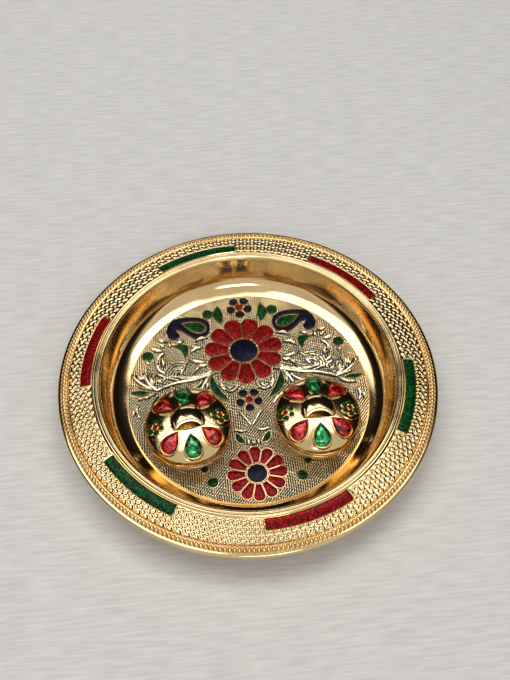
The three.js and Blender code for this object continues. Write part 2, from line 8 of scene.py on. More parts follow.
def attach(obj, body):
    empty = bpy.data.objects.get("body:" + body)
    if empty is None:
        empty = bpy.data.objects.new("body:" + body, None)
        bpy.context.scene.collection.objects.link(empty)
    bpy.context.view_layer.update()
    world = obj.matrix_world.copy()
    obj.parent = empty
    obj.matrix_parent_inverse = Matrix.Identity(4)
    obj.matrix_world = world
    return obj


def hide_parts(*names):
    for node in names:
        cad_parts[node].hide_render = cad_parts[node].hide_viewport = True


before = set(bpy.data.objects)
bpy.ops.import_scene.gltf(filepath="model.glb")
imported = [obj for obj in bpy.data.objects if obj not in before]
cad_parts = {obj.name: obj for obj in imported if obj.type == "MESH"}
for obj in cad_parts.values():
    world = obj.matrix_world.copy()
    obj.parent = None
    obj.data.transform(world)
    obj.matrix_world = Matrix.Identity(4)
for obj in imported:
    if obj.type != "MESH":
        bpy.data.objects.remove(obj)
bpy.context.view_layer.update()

# Camera: the view of a person who stands at the front of the table and looks down into the
# tray. The long side of the picture takes in 41 degrees.
aim = Vector((0.0059, 0.0226, 0.0197))
distance = 0.496
elevation, heading, roll = 55.7, -5.9, 0.3
camera_data = bpy.data.cameras.new("camera")
camera_data.sensor_width = 36
camera_data.lens = 47.65
camera_data.clip_end = 20
camera = bpy.data.objects.new("camera", camera_data)
bpy.context.scene.collection.objects.link(camera)
camera.matrix_world = (
    Matrix.Translation(aim)
    @ Matrix.Rotation(math.radians(heading), 4, "Z")
    @ Matrix.Rotation(math.radians(90 - elevation), 4, "X")
    @ Matrix.Rotation(math.radians(roll), 4, "Z")
    @ Matrix.Translation((0, 0, distance))
)
bpy.context.scene.camera = camera
bpy.context.scene.view_settings.view_transform = "Standard"

# Studio: a pale laminate table top under four soft boxes. Two hang over the tray and give the
# gold its broad highlights. The one in front and the low one behind light its edges.
table_size = 16  # metres, so that its edges stay out of every view


def linear(code):
    """The linear colour of an sRGB hex code."""
    parts = [int(code[i : i + 2], 16) / 255 for i in (1, 3, 5)]
    return tuple(c / 12.92 if c < 0.04045 else ((c + 0.055) / 1.055) ** 2.4 for c in parts) + (1,)


def add(tree, kind, links=None, stops=(), **settings):
    """Adds a node. links gives each input a value or the socket that feeds it, and stops gives
    a ramp its positions and hex colours."""
    node = tree.nodes.new("ShaderNode" + kind)
    for name, value in settings.items():
        setattr(node, name, value)
    for name, value in (links or {}).items():
        if isinstance(value, bpy.types.NodeSocket):
            tree.links.new(value, node.inputs[name])
        else:
            node.inputs[name].default_value = value
    for i, (position, code) in enumerate(stops):
        elements = node.color_ramp.elements
        element = elements[i] if i < 2 else elements.new(position)
        element.position = position
        element.color = linear(code)
    return node


def new_material(name):
    """A material with its tree, its main shader and its object coordinates in metres."""
    material = bpy.data.materials.new(name)
    material.use_nodes = True
    tree = material.node_tree
    place = add(tree, "TexCoord").outputs["Object"]
    return material, tree, tree.nodes["Principled BSDF"], place


table_material, tree, shader, place = new_material("pale_laminate")
# Satin laminate with a faint straight grain, 1.5 mm between its lines.
grain_place = add(tree, "Mapping", {"Vector": place, "Scale": (60, 660, 60)})
grain = add(tree, "TexNoise", {"Vector": grain_place.outputs[0], "Scale": 1, "Detail": 4})
colours = (0.3, "#D4D4D3"), (0.7, "#E9E9E8")
tint = add(tree, "ValToRGB", {"Fac": grain.outputs["Fac"]}, colours)
tree.links.new(tint.outputs["Color"], shader.inputs["Base Color"])
shader.inputs["Roughness"].default_value = 0.55
bpy.ops.mesh.primitive_grid_add(x_subdivisions=8, y_subdivisions=8, size=table_size)
table = bpy.context.object
table.name = "table_top"
table.data.materials.append(table_material)


def soft_box(name, place, size, power, colour):
    """An area light that faces the tray."""
    data = bpy.data.lights.new(name, "AREA")
    data.shape = "RECTANGLE"
    data.size, data.size_y = size
    data.energy = power
    data.color = linear(colour)[:3]
    light = bpy.data.objects.new(name, data)
    light.location = place
    light.rotation_euler = (-Vector(place)).to_track_quat("-Z", "Y").to_euler()
    bpy.context.scene.collection.objects.link(light)


soft_box("ceiling_left", (-0.42, 0.32, 1.4), (0.8, 0.9), 5, "#FFFDFA")
soft_box("ceiling_right", (0.36, 0.42, 1.4), (0.8, 0.5), 3.5, "#FFFDFA")
soft_box("front_box", (0.1, -1.0, 1.2), (0.5, 0.3), 3, "#FFFBF6")
soft_box("back_low", (0.0, 1.5, 0.42), (0.9, 0.3), 1.0, "#FFFDFA")

# Room round the studio: dim at the table's level, behind and at the sides, and light in front
# and above. The polished wall of the dish mirrors that change.
back_share, side_share, full_height = 0.75, 0.4, 1.3
world = bpy.data.worlds.new("studio")
world.use_nodes = True
bpy.context.scene.world = world
tree = world.node_tree
way = add(tree, "SeparateXYZ", {"Vector": add(tree, "TexCoord").outputs["Generated"]})
back = {0: way.outputs["Y"], 1: -back_share, 2: way.outputs["Z"]}
back = add(tree, "Math", back, operation="MULTIPLY_ADD")
side = add(tree, "Math", {0: way.outputs["X"]}, operation="ABSOLUTE")
height = {0: side.outputs[0], 1: -side_share, 2: back.outputs[0]}
height = add(tree, "Math", height, operation="MULTIPLY_ADD")
share = add(tree, "Math", {0: height.outputs[0], 1: full_height}, operation="DIVIDE")
greys = (
    (0.0, "#171512"),
    (0.2, "#24211D"),
    (0.28, "#5A554E"),
    (0.37, "#E8E4DC"),
    (0.5, "#CDCAC3"),
    (1.0, "#D2CFC9"),
)
room = add(tree, "ValToRGB", {"Fac": share.outputs[0]}, greys)
tree.links.new(room.outputs["Color"], tree.nodes["Background"].inputs["Color"])
tree.nodes["Background"].inputs["Strength"].default_value = 1

# Dish: one disc of brass sheet, drawn and stamped in a press, polished and gold plated. Its rim
# slopes down to a turned edge, with a row of beads and a stamped braid, and its floor stands on
# a flat foot ring. Sizes from here on are in mm.
sheet = 1.0
panel_radius, panel_top = 66.6, 2.2
panel_under = panel_top - sheet
foot_inner, foot_outer = 67.3, 68.3
rim_start, rim_end = 80.8, 100.3
rim_top, rim_fall = 23.5, 3.7
wall_roll, edge_roll, edge_skirt = 2.2, 1.3, 0.3
slope_turn = 79  # degrees along a roll to where it meets the slope of the rim
wall_top = (rim_start - wall_roll, rim_top - wall_roll)
panel_edge = [(panel_radius, 2.12), (66.7, 1.9), (66.8, 1.3)]
foot_inside = [(foot_inner, 0), (66.9, 0.1), (66.4, 1.05)]
wall_inside = ((66.9, 1.05), (73.5, 2.6), (78.6, 4.5), wall_top)
wall_outside = ((foot_outer, 0), (74.6, 1.4), (79.6, 3.8), (wall_top[0] + sheet, wall_top[1]))
ridge_inner, ridge_rise = 81.4, 0.6
band_inner, band_outer = 83.3, 95.8
braid_count, braid_pitch = 132, 4.3
bead_inner, bead_outer, bead_rise, bead_count = 97.1, 99.7, 1.2, 265
# A fine line between two grooves: radii, and lifts from the slope of the rim.
line_radii = (95.75, 96.0, 96.15, 96.35, 96.55, 96.7, 97.0)
line_lifts = (-0.35, -0.45, 0.2, 0.3, 0.2, -0.45, -0.4)
# The flat seats of the enamel bars: radii, and angles in degrees.
bar_inner, bar_outer = 83.6, 89.3
bar_span, bar_pitch, first_bar = 30.0, 60, 45.1


def rim_level(radius):
    """The height of the rim's plain slope."""
    return rim_top - rim_fall * (radius - rim_start) / (rim_end - rim_start)


def arc(centre_r, centre_z, radius_r, radius_z, start, end, steps):
    """Points of a profile along an ellipse arc, in degrees."""
    turns = np.radians(np.linspace(start, end, steps + 1))
    return [(centre_r + radius_r * math.cos(t), centre_z + radius_z * math.sin(t)) for t in turns]


def curve(corners, steps=30):
    """Points of a profile along a cubic curve, which four corners steer."""
    points = []
    for t in np.linspace(0, 1, steps):
        weights = (1 - t) ** 3, 3 * t * (1 - t) ** 2, 3 * t * t * (1 - t), t**3
        points.append(tuple(sum(w * p[k] for w, p in zip(weights, corners)) for k in (0, 1)))
    return points


def ring(radius, height, count=384):
    """The points of one circle. height is one number or one for each point."""
    turns = np.arange(count) * (2 * math.pi / count)
    points = np.empty((count, 3))
    points[:, 0] = radius * np.cos(turns)
    points[:, 1] = radius * np.sin(turns)
    points[:, 2] = height
    return points


def skin(rings):
    """A skin over closed rings of any point counts. Equal counts give quads. Others give a
    triangle for each step along either ring, in the order in which the steps end."""
    faces = []
    start = 0
    for a, b in zip(rings, rings[1:]):
        count_a, count_b = len(a), len(b)
        start_b = start + count_a
        if count_a == count_b:
            i = np.arange(count_a)
            j = (i + 1) % count_a
            faces += np.stack([start + i, start_b + i, start_b + j, start + j], 1).tolist()
        else:
            ends_a = (np.arange(count_a) + 1) / count_a + 1e-9
            ends_b = (np.arange(count_b) + 1) / count_b
            order = np.argsort(np.concatenate([ends_a, ends_b]))
            on_b = order >= count_a
            j = np.cumsum(on_b) - on_b
            i = np.cumsum(~on_b) - ~on_b
            third = np.where(on_b, start_b + (j + 1) % count_b, start + (i + 1) % count_a)
            keep = np.where(on_b, count_b > 1, count_a > 1)
            triangles = np.stack([start + i % count_a, start_b + j % count_b, third], 1)
            faces += triangles[keep].tolist()
        start = start_b
    return np.concatenate(rings), faces


def piece(name, parts, body, slot, materials, *nodes):
    """One object in the place of its nodes. Each part is its points in mm, its faces and, where
    it isn't of the first material, the material's number."""
    points, faces, numbers, start = [], [], [], 0
    for part_points, part_faces, *number in parts:
        points.append(np.asarray(part_points) * 0.001)
        faces += [[start + i for i in face] for face in part_faces]
        numbers += (number or [0]) * len(part_faces)
        start += len(part_points)
    mesh = bpy.data.meshes.new(name)
    mesh.from_pydata(np.concatenate(points).tolist(), [], faces)
    mesh.polygons.foreach_set("material_index", numbers)
    mesh.shade_smooth()
    mesh.set_sharp_from_angle(angle=math.radians(50))
    for material in materials:
        mesh.materials.append(material)
    item = bpy.data.objects.new(name, mesh)
    bpy.context.scene.collection.objects.link(item)
    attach(item, body)
    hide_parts(*nodes)


def braid(units, across):
    """The height of the stamped braid: three staggered rows of rings with a hole in each, and
    round dots between them. across goes from 0 at the inner edge of the band to 1."""
    height = np.zeros(np.broadcast(units, across).shape)

    def distance_to(u, v):
        along = ((units - u + 0.5) % 1 - 0.5) * braid_pitch
        return np.hypot(along, (across - v) * (band_outer - band_inner))

    for u, v in ((0.0, 0.2), (0.5, 0.53), (0.0, 0.86)):
        away = distance_to(u, v)
        height = np.maximum(height, 0.55 * np.exp(-(((away - 1.25) / 0.6) ** 2)))
        height = height - 0.35 * np.exp(-((away / 0.42) ** 2))
    dots = ((0.5, 0.16), (0.0, 0.5), (0.5, 0.84))
    small_gaps = ((0.25, 0.36), (0.75, 0.36), (0.25, 0.69), (0.75, 0.69))
    for u, v in dots + small_gaps:
        away = distance_to(u, v)
        height = np.maximum(height, 0.42 * np.sqrt(np.clip(1 - (away / 0.8) ** 2, 0, 1)))
    return height


# The upper side, from the middle to the edge. The roll at the top of the wall has fine ripples.
profile = [(r, panel_top) for r in (8, 20, 35, 50, 60, panel_radius - 0.2)]
floor_rings = [np.array([[0, 0, panel_top]])] + [ring(r, z) for r, z in profile]
profile = profile[-1:] + panel_edge + curve(wall_inside)
for i, t in enumerate(np.radians(np.linspace(180, slope_turn, 41))[1:]):
    radius = wall_roll - 0.05 * (1 - math.cos(i * 0.9))
    profile.append((rim_start + radius * math.cos(t), rim_top - wall_roll + radius * math.sin(t)))
rings = [ring(r, z) for r, z in profile]
for r in np.linspace(ridge_inner, band_inner, 9):
    swell = math.sin(math.pi * (r - ridge_inner) / (band_inner - ridge_inner)) ** 0.7
    rings.append(ring(r, rim_level(r) + ridge_rise * swell))
# The braid fades out towards the seats of the bars, and a low edge runs round each seat.
count = braid_count * 16
units = np.arange(count) / 16
for r in np.linspace(band_inner + 0.3, band_outer - 0.2, 50):
    across = (r - band_inner) / (band_outer - band_inner)
    from_bar = (units / braid_count * 360 - first_bar + bar_pitch / 2) % bar_pitch - bar_pitch / 2
    away = (np.abs(from_bar) - bar_span / 2) * math.radians(r)
    away = np.maximum(away, max(bar_inner - r, r - bar_outer))
    fade = np.clip(away - 0.45, 0, 0.3) / 0.3
    edge = 0.4 * np.clip(1 - np.abs(away - 0.1) / 0.3, 0, 1) ** 0.5
    lift = np.maximum(fade * (braid(units, across) - 0.05), edge)
    rings.append(ring(r, rim_level(r) + lift, count))
rings += [ring(r, rim_level(r) + lift) for r, lift in zip(line_radii, line_lifts)]
count = bead_count * 8
beat = (np.arange(count) / 8 + 0.5) % 1 - 0.5
for r in np.linspace(bead_inner, bead_outer, 13):
    across = (2 * r - bead_inner - bead_outer) / (bead_outer - bead_inner)
    swell = np.sqrt(np.clip(1 - across**2 - (2 * beat) ** 2, 0, 1))
    rings.append(ring(r, rim_level(r) - 0.3 + bead_rise * swell, count))
# The turned edge and the underside, back to the middle.
edge_level = rim_level(rim_end) - edge_roll
skirt_level = edge_level - edge_skirt
profile = [(99.9, rim_level(99.9))]
profile += arc(rim_end, edge_level, edge_roll, edge_roll, slope_turn, 0, 10)
profile += [(rim_end + edge_roll, skirt_level), (101.2, skirt_level - 0.02)]
profile += [(100.6, skirt_level), (100.5, edge_level)]
profile += [(r, rim_level(r) - sheet) for r in (100.2, 95, 90, 84)]
roll_under = wall_roll - sheet
profile += arc(rim_start, rim_top - wall_roll, roll_under, roll_under, slope_turn, 180, 10)
profile += curve(wall_outside[::-1]) + foot_inside
profile += [(r, panel_under) for r in (66.0, 40, 10)]
rings += [ring(r, z) for r, z in profile] + [np.array([[0, 0, panel_under]])]
ground_finish, relief_finish = 1, 2
dish_parts = [(*skin(floor_rings), ground_finish), skin(rings)]

polished_gold, tree, shader, place = new_material("polished_gold_plate")
# Bright gold plate over buffed brass, with faint clouds 17 mm wide in its colour, soft ripples
# of the drawn sheet 25 mm apart, and polishing marks 1 mm long that change its gloss.
cloud = add(tree, "TexNoise", {"Vector": place, "Scale": 60, "Detail": 3})
colours = (0.3, "#E3C48F"), (0.7, "#F0D6A5")
tint = add(tree, "ValToRGB", {"Fac": cloud.outputs["Fac"]}, colours)
tree.links.new(tint.outputs["Color"], shader.inputs["Base Color"])
marks_place = add(tree, "Mapping", {"Vector": place, "Rotation": (0, 0, 0.6), "Scale": (1, 9, 4)})
marks = add(tree, "TexNoise", {"Vector": marks_place.outputs[0], "Scale": 900, "Detail": 4})
gloss = add(tree, "MapRange", {"Value": marks.outputs["Fac"], "To Min": 0.05, "To Max": 0.16})
tree.links.new(gloss.outputs[0], shader.inputs["Roughness"])
ripple = add(tree, "TexNoise", {"Vector": place, "Scale": 40, "Detail": 1})
bump = {"Height": ripple.outputs["Fac"], "Strength": 0.25, "Distance": 0.002}
bump = add(tree, "Bump", bump)
fine_bump = {"Height": marks.outputs["Fac"], "Strength": 0.05, "Distance": 0.0002}
fine_bump = add(tree, "Bump", {**fine_bump, "Normal": bump.outputs[0]})
tree.links.new(fine_bump.outputs[0], shader.inputs["Normal"])
shader.inputs["Metallic"].default_value = 1

stamped_ground, tree, shader, place = new_material("stamped_gold_ground")
# Plate struck with fine strokes that scatter the light, so that it looks paler. The strokes are
# drawn 1.2 mm apart, as coarse as they need to show, and turn in patches 6 mm wide. Their colour is
# dark in the grooves and pale on the ridges: painted shade and painted highlight.
turned = add(tree, "Mapping", {"Vector": place, "Rotation": (0, 0, 0.7)})
strokes = []
for coordinates in (place, turned.outputs[0]):
    wave = add(tree, "TexWave", {"Vector": coordinates, "Scale": 260, "Distortion": 1.6})
    wave.inputs["Detail Scale"].default_value = 1.5
    strokes.append(wave.outputs["Fac"])
patches = add(tree, "TexNoise", {"Vector": place, "Scale": 160, "Detail": 0})
choice = add(tree, "MapRange", {"Value": patches.outputs["Fac"], "To Min": 0.2, "To Max": 0.8})
choice.inputs["From Min"].default_value = 0.42
choice.inputs["From Max"].default_value = 0.58
hatch = add(tree, "Mix", {"Factor": choice.outputs[0], "A": strokes[0], "B": strokes[1]})
# Painted shade in the grooves of the strokes and a painted highlight on their ridges.
colours = (0.22, "#4A3F2A"), (0.42, "#DFCB94"), (0.6, "#FFF7DA")
tint = add(tree, "ValToRGB", {"Fac": hatch.outputs[0]}, colours)
tree.links.new(tint.outputs["Color"], shader.inputs["Base Color"])
shader.inputs["Roughness"].default_value = 0.22
bump = add(tree, "Bump", {"Height": hatch.outputs[0], "Strength": 0.9, "Distance": 0.0005})
tree.links.new(bump.outputs[0], shader.inputs["Normal"])
shader.inputs["Metallic"].default_value = 0.8

# Relief of the floor: scrolls, leaves and half-open blooms, struck up in the sheet of the dish
# and polished on top. The right half is the pattern, and the left half mirrors it.
ribbon_stretch, scroll_rise, leaf_rise, leaf_edge, leaf_mesh = 1.5, 1.4, 1.7, 0.2, 0.35
# Scrolls: width, and the points of the middle line.
scrolls = (
    (1.9, ((15.5, 15.0), (20, 13.6), (26, 11.8), (32, 10.6), (38, 9.9), (44, 8.2), (50, 5.6))),
    (1.3, ((17, 16.2), (22, 14.3), (28, 12.7), (34, 12.5), (40, 13.6), (46, 16.8))),
    (1.4, ((38, 10.8), (43, 13.0), (50, 16.4))),
    (2.4, ((45.6, 16.4), (48.4, 19.4), (49.2, 24), (47.8, 28), (45.2, 30.4))),
    (1.8, ((50, 5.6), (55, 8.2), (60, 12.2), (64.0, 17.4))),
    (2.2, ((50.6, 6.8), (54.2, 10.4), (55.6, 15), (54.8, 20.6))),
    (1.3, ((50, 16.4), (52.3, 14.2), (53.2, 11))),
    (1.4, ((17.5, 14.5), (21, 11.8), (23.6, 8.4), (25.2, 4.2))),
    (1.3, ((24, 10.8), (27, 7.0), (31, 4.8), (36, 3.8))),
    (1.2, ((50.5, 5.8), (55.5, 7.5), (60.5, 8.8))),
    (1.5, ((51, 3.9), (55, 2.0), (60.5, 0.8))),
    (1.9, ((21.6, 20.0), (23.6, 19.7), (25.8, 19.8))),
    (1.3, ((31, 23.2), (33.4, 21.6), (34.5, 18.5), (36.3, 15.2))),
    (1.2, ((35.6, 16.4), (36.4, 18.8), (38.6, 19), (39.4, 17), (38, 15.8), (37, 16.8))),
    (1.1, ((5.2, 8.4), (6.0, 3.6), (9.4, 1.3), (12.8, 3.4), (14.2, 8))),
    (1.1, ((7.6, 6.2), (8.2, 3.9), (10.2, 3.2), (11.8, 4.8))),
    (1.4, ((44.2, 45), (43.0, 41), (42.4, 37.5), (41.6, 34))),
    (1.3, ((15.8, 12), (14.2, 9), (14.6, 5), (13.0, 2.4))),
    (1.2, ((20.5, -1.6), (16, -4.6), (13.2, -8.4))),
    (0.9, ((6.2, -12.0), (3.2, -16.4), (0.6, -20.8))),
    (0.9, ((9.6, -23.2), (5.4, -24.4), (2.0, -23.4))),
    (1.1, ((60.6, -2.4), (61.4, -6.6), (60.2, -11))),
)
# Leaves: root, length, width, bend, and turn in degrees from straight back.
relief_leaves = (
    (45.4, 31.2, 9.0, 3.6, 0.6, -62), (51.5, 8.6, 9.5, 4.4, 0.8, -8),
    (45.8, 20.6, 6.6, 2.6, -0.6, -8), (57.4, 12.6, 6.6, 2.3, 0.5, 20),
    (57.6, 12.6, 7.2, 2.4, 0, -8), (58.0, 12.4, 6.6, 2.3, -0.4, -36),
    (21.6, 21.8, 10.4, 3.0, 0.9, -73), (22.6, 32.0, 7.8, 2.4, 0.8, -80),
    (19.6, 38.2, 8.0, 2.6, -1.2, -104), (22.2, 11.0, 7.6, 3.0, 0.8, 186),
    (43.4, 38.0, 6.0, 2.2, 0.6, -72), (44.6, 33.4, 5.0, 2.0, -0.5, -50),
    (33.4, 38.4, 5.6, 2.4, 0.6, -116), (36.6, 35.4, 5.0, 2.0, 0.5, -84),
    (46.0, 9.6, 6.4, 2.4, 0.8, -38), (29.0, 14.4, 7.0, 2.4, 0.8, 44),
    (30.6, 28.8, 6.2, 2.4, 0.6, 62), (3.6, -28.0, 5.2, 2.6, 0.3, 168),
    (0.9, -28.4, 5.0, 1.6, 0.2, 176), (53.0, 22.4, 5.6, 2.0, 0.6, -30),
    (61.6, -4.2, 6.4, 2.2, -0.8, 196),
)
# A bloom inside each large scroll: round petals, one within the other.
bloom_centre, bloom_radii, bloom_line = (37.2, 14.2), (2.2, 3.8, 5.4, 7.0, 8.6), 1.0
bloom_turns = np.radians(np.linspace(-15, 115, 9))
bloom_round = np.column_stack([np.cos(bloom_turns), np.sin(bloom_turns)])
blooms = [(bloom_line, radius * bloom_round + bloom_centre) for radius in bloom_radii]

raised_gold, tree, shader, place = new_material("raised_gold_relief_painted_light")
# Plated as the rest. Its colour runs from dark at the feet of the relief to nearly silver on its
# tops: painted shade round the feet and a painted highlight on the tops. Small dents, 2 mm apart,
# break its highlights.
painted_shade_foot, painted_highlight_top = 0.1, 1.3
level = add(tree, "SeparateXYZ", {"Vector": place})
painted_light = add(tree, "MapRange", {"Value": level.outputs["Z"]})
painted_light.inputs["From Min"].default_value = (panel_top + painted_shade_foot) * 0.001
painted_light.inputs["From Max"].default_value = (panel_top + painted_highlight_top) * 0.001
# Painted shade at the feet of the relief and a painted highlight on its tops.
colours = (0.1, "#241B0E"), (0.45, "#9C875A"), (0.8, "#FFF8E0")
tint = add(tree, "ValToRGB", {"Fac": painted_light.outputs[0]}, colours)
tree.links.new(tint.outputs["Color"], shader.inputs["Base Color"])
dents = add(tree, "TexNoise", {"Vector": place, "Scale": 500, "Detail": 2})
bump = {"Height": dents.outputs["Fac"], "Strength": 0.2, "Distance": 0.0006}
bump = add(tree, "Bump", bump)
tree.links.new(bump.outputs[0], shader.inputs["Normal"])
shader.inputs["Roughness"].default_value = 0.07
shader.inputs["Metallic"].default_value = 1


def ribbon(points, widths, rise, lift=0.0, closed=False):
    """A raised half-round line along points. It has no underside and starts just below lift."""
    points = np.asarray(points, float)
    widths = np.broadcast_to(np.asarray(widths, float), len(points))
    if closed:
        along = np.roll(points, -1, 0) - np.roll(points, 1, 0)
    else:
        along = np.gradient(points, axis=0)
    along /= np.maximum(np.linalg.norm(along, axis=1), 1e-9)[:, None]
    aside = np.stack([-along[:, 1], along[:, 0]], 1)
    foot, flank, top = (1, -0.1), (0.72, 0.6 * rise), (0.3, rise)
    section = (foot, flank, top, (-top[0], top[1]), (-flank[0], flank[1]), (-foot[0], foot[1]))
    rows = []
    for offset, height in section:
        flat = points + aside * (widths * offset / 2)[:, None]
        tall = height * np.minimum(1, widths / widths.max() + 0.3) if height > 0 else height
        rows.append(np.column_stack([flat, np.broadcast_to(tall + lift, len(points))]))
    count, sides = len(points), len(section)
    vertices = np.stack(rows, 1).reshape(-1, 3)
    i = np.arange(count if closed else count - 1)
    faces = []
    for k in range(sides - 1):
        a, b = i * sides + k, ((i + 1) % count) * sides + k
        faces += np.stack([a, a + 1, b + 1, b], 1).tolist()
    if not closed:
        faces += [list(range(sides))[::-1], list(range((count - 1) * sides, count * sides))]
    return vertices, faces


def smooth_line(points, closed=False, spacing=0.5):
    """A smooth line through given points, with even steps."""
    points = np.asarray(points, float)
    if closed:
        points = np.vstack([points[-1:], points, points[:2]])
    else:
        points = np.vstack([2 * points[0] - points[1], points, 2 * points[-1] - points[-2]])
    line = []
    for a, b, c, d in zip(points, points[1:], points[2:], points[3:]):
        steps = max(3, int(np.linalg.norm(c - b) / spacing) + 1)
        t = np.linspace(0, 1, steps)[:-1, None]
        bend = (2 * a - 5 * b + 4 * c - d) * t**2 + (3 * b - a - 3 * c + d) * t**3
        line.append(0.5 * (2 * b + (c - a) * t + bend))
    return np.vstack(line if closed else line + [points[-2:-1]])


def loop_distance(points, loop):
    """The distance from points to a closed outline, and whether each lies within it."""
    a, b = loop, np.roll(loop, -1, 0)
    edge = b - a
    from_a = points[:, None] - a[None]
    share = np.clip((from_a * edge).sum(2) / np.maximum((edge**2).sum(1), 1e-12), 0, 1)
    away = np.linalg.norm(from_a - share[..., None] * edge, axis=2).min(1)
    y = points[:, 1:2]
    crosses = (a[:, 1] > y) != (b[:, 1] > y)
    slope = np.where(np.abs(edge[:, 1]) < 1e-12, 1e-12, edge[:, 1])
    to_right = points[:, :1] < a[:, 0] + (y - a[:, 1]) * edge[:, 0] / slope
    return away, ((crosses & to_right).sum(1) % 2).astype(bool)


def field(loops, edge, rise, swell, step=0.6, lift=0.0):
    """A filled cell: upright sides, then a surface that swells from edge to rise over a width of
    swell. The first loop is the outline and the others are holes."""
    outline = loops[0]
    low, high = outline.min(0), outline.max(0)
    columns = np.arange(low[0], high[0] + step, step)
    lines = np.arange(low[1], high[1] + step, step * 0.866)
    grid = np.array([(x + (j % 2) * step / 2, y) for j, y in enumerate(lines) for x in columns])
    away, keep = loop_distance(grid, outline)
    for hole in loops[1:]:
        hole_away, in_hole = loop_distance(grid, hole)
        away, keep = np.minimum(away, hole_away), keep & ~in_hole
    keep &= away > step * 0.45
    grid, away = grid[keep], away[keep]
    border = np.concatenate(loops)
    edges, start = [], 0
    for loop in loops:
        edges += [(start + i, start + (i + 1) % len(loop)) for i in range(len(loop))]
        start += len(loop)
    flat = [Vector(p) for p in np.concatenate([border, grid]).tolist()]
    result = geometry.delaunay_2d_cdt(flat, edges, [], 0, 1e-6)
    points, triangles, origins = np.array([tuple(p) for p in result[0]]), result[2], result[3]
    middles = points[np.array(triangles)].mean(1)
    inside = loop_distance(middles, outline)[1]
    for hole in loops[1:]:
        inside &= ~loop_distance(middles, hole)[1]
    depth = np.zeros(len(points))
    for i, origin in enumerate(origins):
        if origin and origin[0] >= len(border):
            depth[i] = away[origin[0] - len(border)]
    swollen = edge + (rise - edge) * np.sin(np.minimum(depth / swell, 1) * math.pi / 2)
    top = np.column_stack([points, swollen + lift])
    faces = [list(t) for t, ok in zip(triangles, inside) if ok]
    skirt = np.column_stack([border, np.full(len(border), lift - 0.05)])
    base = len(top)
    lookup = {origin[0]: i for i, origin in enumerate(origins) if origin}
    for a, b in edges:
        faces.append([lookup[a], base + a, base + b, lookup[b]])
    return np.concatenate([top, skirt]), faces


def mirror(points, side):
    """The right side's points for side 1, or their mirror image for side -1."""
    points = np.asarray(points, float) * (side, 1)
    return points if side > 0 else points[::-1]


def turned_about(points, degrees, centre=(0, 0)):
    """Points turned about the origin and then moved to centre."""
    c, s = math.cos(math.radians(degrees)), math.sin(math.radians(degrees))
    return np.asarray(points) @ np.array([[c, s], [-s, c]]) + centre


def leaf(length, width, bend, count=12):
    """A leaf along +Y whose spine bows towards +X."""
    t = np.linspace(0, 1, count)
    swell = np.sin(math.pi * t)
    right = np.column_stack([bend * swell + width / 2 * swell**0.8, length * t])
    left = np.column_stack([bend * swell - width / 2 * swell**0.8, length * t])
    return np.vstack([right, left[::-1][1:-1]])


for side in (-1, 1):
    for width, points in (*scrolls, *blooms):
        line = smooth_line(mirror(points, side))
        taper = np.sin(np.linspace(0.12, 0.88, len(line)) * math.pi) ** 0.6
        widths = ribbon_stretch * width * taper
        dish_parts.append((*ribbon(line, widths, scroll_rise, panel_top), relief_finish))
    for x, y, length, width, bend, turn in relief_leaves:
        outline = mirror(turned_about(leaf(length, width, bend), turn, (x, y)), side)
        raised = field([outline], leaf_edge, leaf_rise, width / 2, leaf_mesh, panel_top)
        dish_parts.append((*raised, relief_finish))

# Floor enamel: coloured enamel with fine glitter, fired in cells that thin walls of the sheet
# enclose. Each cell swells a little towards its middle. The walls belong to the dish.
enamel_edge, enamel_rise = 0.3, 0.7
cell_wall, cell_wall_rise = 0.5, 0.85


def enamel(name, dark, light, painted_glint):
    """Enamel with glitter flakes of random tone. Some are partly metallic, and the brightest carry
    a painted glint in their colour. Real flakes are finer. These are 0.5 mm wide, as coarse as they
    need to show."""
    material, tree, shader, place = new_material(name)
    flakes = add(tree, "TexVoronoi", {"Vector": place, "Scale": 2000})
    chance = add(tree, "SeparateColor", {"Color": flakes.outputs["Color"]})
    # The last stop is a painted glint. The others are the flakes' own tones.
    colours = (0.0, dark), (0.7, light), (0.95, painted_glint)
    tint = add(tree, "ValToRGB", {"Fac": chance.outputs["Red"]}, colours)
    tree.links.new(tint.outputs["Color"], shader.inputs["Base Color"])
    metal = add(tree, "MapRange", {"Value": chance.outputs["Green"], "To Min": 0.0, "To Max": 0.5})
    tree.links.new(metal.outputs[0], shader.inputs["Metallic"])
    bump = {"Height": chance.outputs["Blue"], "Strength": 0.5, "Distance": 0.0002}
    bump = add(tree, "Bump", bump)
    tree.links.new(bump.outputs[0], shader.inputs["Normal"])
    shader.inputs["Roughness"].default_value = 0.38
    shader.inputs["Specular IOR Level"].default_value = 0.12
    shader.inputs["Coat Weight"].default_value = 0.08
    shader.inputs["Coat Roughness"].default_value = 0.05
    return material


enamels = {
    "red": enamel("red_glitter_enamel", "#2A0002", "#7E0305", "#D81A12"),
    "green": enamel("green_glitter_enamel", "#001006", "#023410", "#0A7838"),
    "blue": enamel("dark_blue_glitter_enamel", "#010106", "#050518", "#18184E"),
}


def cells(node, outlines, colour, swell, name=None):
    """The enamel of one node: a filled cell for each outline, and its walls on the dish."""
    parts = []
    for loops in outlines:
        parts.append(field(loops, enamel_edge, enamel_rise, swell, lift=panel_top))
        for loop in loops:
            dish_parts.append(ribbon(loop, cell_wall, cell_wall_rise, panel_top, True))
    piece(name or node, parts, "root", colour + "_enamel", [enamels[colour]], node)


# Four flowers along the middle line of the floor: two large ones and two small ones.
back_flower_y, large_flower_y, middle_flower_y, front_flower_y = 58.0, 27.4, -5.0, -49.8


def circle(radius, count, centre=(0, 0)):
    """A round outline."""
    turns = np.arange(count) * (2 * math.pi / count)
    return np.column_stack([centre[0] + radius * np.cos(turns), centre[1] + radius * np.sin(turns)])


